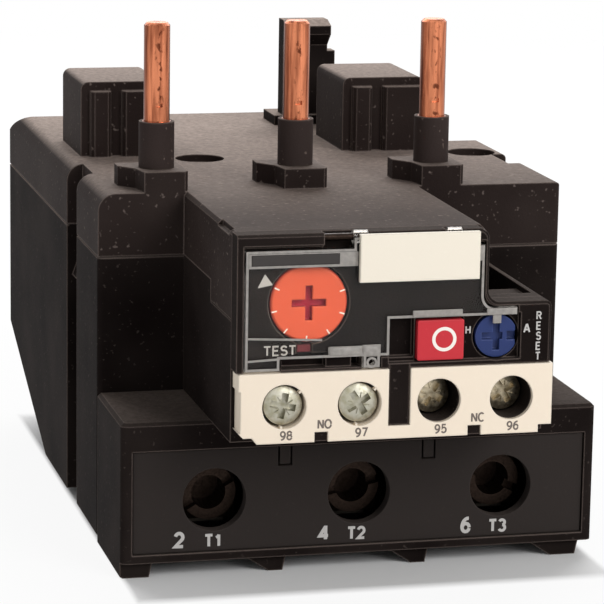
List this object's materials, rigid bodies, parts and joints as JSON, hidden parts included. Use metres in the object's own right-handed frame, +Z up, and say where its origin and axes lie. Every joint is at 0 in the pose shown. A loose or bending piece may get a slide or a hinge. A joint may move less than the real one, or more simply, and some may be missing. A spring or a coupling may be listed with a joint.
{
  "type": "thermal overload relay",
  "caption": "Plug-in thermal overload relay that opens its control contact when the motor current stays too high, with a setting dial, stop, reset and test controls.",
  "frame": {"origin": "middle of the bounding box in X and Y, at the underside of the feet", "axes": "+Z up along the plug-in pins, +Y from the control face to the back, +X to the right seen from the front"},
  "size_m": [0.07, 0.1218, 0.0764],
  "materials": {
    "housing_black": "fine moulded texture, glass-filled polyamide",
    "panel_grey": "moulded polyamide, satin",
    "strip_cream": "moulded polyamide, satin",
    "clear_plastic": "clear moulded polycarbonate, glossy",
    "tag_white": "thin moulded tag, satin",
    "dial_orange": "moulded acetal, semi-gloss",
    "button_red": "moulded acetal, semi-gloss",
    "knob_blue": "moulded acetal, semi-gloss",
    "test_red": "moulded acetal, semi-gloss",
    "inner_white": "moulded polyamide, plain",
    "zinc_steel": "zinc plated, clear passivated",
    "dark_steel": "blackened steel, lightly oiled",
    "tinned_copper": "tin plated copper, satin",
    "copper": "bare drawn copper, burnished",
    "bimetal": "rolled thermostatic bimetal strip",
    "heater_ribbon": "rolled nickel chromium ribbon",
    "spring_steel": "drawn spring wire"
  },
  "bodies": {
    "housing": {"base_housing": "housing_black", "top_cover": "housing_black", "terminal_shroud": "housing_black", "front_panel": "panel_grey", "head_case": "housing_black", "front_bezel": "housing_black", "aux_terminal_strip": "strip_cream", "mounting_hook": "housing_black", "pin_sleeves": "housing_black", "lever_pin": "spring_steel", "stop_spring": "spring_steel", "reset_spring": "spring_steel", "cover_hinge_pin": "spring_steel", "power_pin_1": "copper", "load_busbar_1": "tinned_copper", "heater_1": "heater_ribbon", "power_pin_2": "copper", "load_busbar_2": "tinned_copper", "heater_2": "heater_ribbon", "power_pin_3": "copper", "load_busbar_3": "tinned_copper", "heater_3": "heater_ribbon", "aux_plate_98": "tinned_copper", "aux_plate_97": "tinned_copper", "aux_plate_95": "tinned_copper", "aux_plate_96": "tinned_copper"},
    "trip_slide": {"trip_slide": "inner_white"},
    "differential_slide": {"differential_slide": "inner_white"},
    "trip_lever": {"trip_lever": "inner_white", "compensation_strip": "bimetal"},
    "contact_carrier": {"contact_carrier": "inner_white", "nc_bridge": "tinned_copper", "no_bridge": "tinned_copper"},
    "setting_dial": {"setting_dial": "dial_orange", "setting_cam": "inner_white"},
    "stop_button": {"stop_button": "button_red"},
    "reset_plunger": {"reset_plunger": "inner_white"},
    "reset_knob": {"reset_knob": "knob_blue"},
    "test_button": {"test_button": "test_red"},
    "dial_cover": {"dial_cover": "clear_plastic", "marker_tag": "tag_white"},
    "bimetal_1": {"bimetal_1": "bimetal"},
    "clamp_cage_1": {"clamp_cage_1": "zinc_steel"},
    "clamp_screw_1": {"clamp_screw_1": "dark_steel"},
    "bimetal_2": {"bimetal_2": "bimetal"},
    "clamp_cage_2": {"clamp_cage_2": "zinc_steel"},
    "clamp_screw_2": {"clamp_screw_2": "dark_steel"},
    "bimetal_3": {"bimetal_3": "bimetal"},
    "clamp_cage_3": {"clamp_cage_3": "zinc_steel"},
    "clamp_screw_3": {"clamp_screw_3": "dark_steel"},
    "aux_washer_98": {"aux_washer_98": "zinc_steel"},
    "aux_screw_98": {"aux_screw_98": "zinc_steel"},
    "aux_washer_97": {"aux_washer_97": "zinc_steel"},
    "aux_screw_97": {"aux_screw_97": "zinc_steel"},
    "aux_washer_95": {"aux_washer_95": "zinc_steel"},
    "aux_screw_95": {"aux_screw_95": "zinc_steel"},
    "aux_washer_96": {"aux_washer_96": "zinc_steel"},
    "aux_screw_96": {"aux_screw_96": "zinc_steel"}
  },
  "joints": [
    {"name": "trip_slide_travel", "type": "slide", "parent": "housing", "child": "trip_slide", "axis": [1, 0, 0], "range_m": [0, 0.002], "stiffness_N_per_m": 60},
    {"name": "differential_slide_travel", "type": "slide", "parent": "housing", "child": "differential_slide", "axis": [1, 0, 0], "range_m": [0, 0.002]},
    {"name": "bimetal_1_bend", "type": "hinge", "parent": "housing", "child": "bimetal_1", "pos_m": [-0.0256, 0.02795, 0.008], "axis": [0, 1, 0], "range_deg": [0, 3.83]},
    {"name": "bimetal_2_bend", "type": "hinge", "parent": "housing", "child": "bimetal_2", "pos_m": [-0.0048, 0.02795, 0.008], "axis": [0, 1, 0], "range_deg": [0, 3.83]},
    {"name": "bimetal_3_bend", "type": "hinge", "parent": "housing", "child": "bimetal_3", "pos_m": [0.016, 0.02795, 0.008], "axis": [0, 1, 0], "range_deg": [0, 3.83]},
    {"name": "trip_lever_turn", "type": "hinge", "parent": "housing", "child": "trip_lever", "pos_m": [0.0225, -0.00405, 0.029], "axis": [0, 0, 1], "range_deg": [-3.83, 0]},
    {"name": "contact_carrier_travel", "type": "slide", "parent": "housing", "child": "contact_carrier", "axis": [-1, 0, 0], "range_m": [0, 0.0025]},
    {"name": "setting_dial_turn", "type": "hinge", "parent": "housing", "child": "setting_dial", "pos_m": [-0.0121, -0.0589, 0.0425], "axis": [0, 1, 0], "range_deg": [0, 224]},
    {"name": "stop_button_press", "type": "slide", "parent": "housing", "child": "stop_button", "axis": [0, 1, 0], "range_m": [0, 0.002], "stiffness_N_per_m": 600, "springref_m": -0.001, "deforming": ["stop_spring"]},
    {"name": "reset_plunger_press", "type": "slide", "parent": "housing", "child": "reset_plunger", "axis": [0, 1, 0], "range_m": [0, 0.002], "stiffness_N_per_m": 500, "springref_m": -0.001, "deforming": ["reset_spring"]},
    {"name": "reset_knob_turn", "type": "hinge", "parent": "reset_plunger", "child": "reset_knob", "pos_m": [0.0146, -0.05935, 0.037], "axis": [0, 1, 0], "range_deg": [0, 90]},
    {"name": "test_button_press", "type": "slide", "parent": "housing", "child": "test_button", "axis": [0, 1, 0], "range_m": [0, 0.0015], "stiffness_N_per_m": 300, "springref_m": -0.001},
    {"name": "dial_cover_open", "type": "hinge", "parent": "housing", "child": "dial_cover", "pos_m": [0, -0.05915, 0.0515], "axis": [-1, 0, 0], "range_deg": [0, 90]},
    {"name": "clamp_screw_1_turn", "type": "hinge", "parent": "housing", "child": "clamp_screw_1", "pos_m": [-0.0215, -0.03945, 0.0111], "axis": [0, 1, 0], "range_deg": [0, 1297]},
    {"name": "clamp_cage_1_travel", "type": "slide", "parent": "housing", "child": "clamp_cage_1", "axis": [0, -1, 0], "range_m": [0, 0.0036]},
    {"name": "clamp_screw_2_turn", "type": "hinge", "parent": "housing", "child": "clamp_screw_2", "pos_m": [-0.0003, -0.03945, 0.0111], "axis": [0, 1, 0], "range_deg": [0, 1297]},
    {"name": "clamp_cage_2_travel", "type": "slide", "parent": "housing", "child": "clamp_cage_2", "axis": [0, -1, 0], "range_m": [0, 0.0036]},
    {"name": "clamp_screw_3_turn", "type": "hinge", "parent": "housing", "child": "clamp_screw_3", "pos_m": [0.0209, -0.03945, 0.0111], "axis": [0, 1, 0], "range_deg": [0, 1297]},
    {"name": "clamp_cage_3_travel", "type": "slide", "parent": "housing", "child": "clamp_cage_3", "axis": [0, -1, 0], "range_m": [0, 0.0036]},
    {"name": "aux_washer_98_travel", "type": "slide", "parent": "housing", "child": "aux_washer_98", "axis": [0, 1, 0], "range_m": [0, 0.0054]},
    {"name": "aux_screw_98_turn", "type": "hinge", "parent": "aux_washer_98", "child": "aux_screw_98", "pos_m": [-0.0156, -0.05405, 0.0284], "axis": [0, 1, 0], "range_deg": [0, 3241]},
    {"name": "aux_washer_97_travel", "type": "slide", "parent": "housing", "child": "aux_washer_97", "axis": [0, 1, 0], "range_m": [0, 0.0054]},
    {"name": "aux_screw_97_turn", "type": "hinge", "parent": "aux_washer_97", "child": "aux_screw_97", "pos_m": [-0.005, -0.05405, 0.0284], "axis": [0, 1, 0], "range_deg": [0, 3241]},
    {"name": "aux_washer_95_travel", "type": "slide", "parent": "housing", "child": "aux_washer_95", "axis": [0, 1, 0], "range_m": [0, 0.0019]},
    {"name": "aux_screw_95_turn", "type": "hinge", "parent": "aux_washer_95", "child": "aux_screw_95", "pos_m": [0.0063, -0.05405, 0.0284], "axis": [0, 1, 0], "range_deg": [0, 1141]},
    {"name": "aux_washer_96_travel", "type": "slide", "parent": "housing", "child": "aux_washer_96", "axis": [0, 1, 0], "range_m": [0, 0.0019]},
    {"name": "aux_screw_96_turn", "type": "hinge", "parent": "aux_washer_96", "child": "aux_screw_96", "pos_m": [0.0167, -0.05405, 0.0284], "axis": [0, 1, 0], "range_deg": [0, 1141]}
  ],
  "couplings": [
    {"joint": "differential_slide_travel", "follows": "trip_slide_travel", "ratio": 1},
    {"joint": "bimetal_1_bend", "follows": "trip_slide_travel", "rad_per_m": 33.333},
    {"joint": "bimetal_2_bend", "follows": "trip_slide_travel", "rad_per_m": 33.333},
    {"joint": "bimetal_3_bend", "follows": "trip_slide_travel", "rad_per_m": 33.333},
    {"joint": "trip_lever_turn", "follows": "trip_slide_travel", "rad_per_m": -33.333},
    {"joint": "contact_carrier_travel", "follows": "trip_slide_travel", "ratio": 1.25},
    {"joint": "clamp_screw_1_turn", "follows": "clamp_cage_1_travel", "rad_per_m": 6283.2},
    {"joint": "clamp_screw_2_turn", "follows": "clamp_cage_2_travel", "rad_per_m": 6283.2},
    {"joint": "clamp_screw_3_turn", "follows": "clamp_cage_3_travel", "rad_per_m": 6283.2},
    {"joint": "aux_screw_98_turn", "follows": "aux_washer_98_travel", "rad_per_m": 10472},
    {"joint": "aux_screw_97_turn", "follows": "aux_washer_97_travel", "rad_per_m": 10472},
    {"joint": "aux_screw_95_turn", "follows": "aux_washer_95_travel", "rad_per_m": 10472},
    {"joint": "aux_screw_96_turn", "follows": "aux_washer_96_travel", "rad_per_m": 10472}
  ]
}
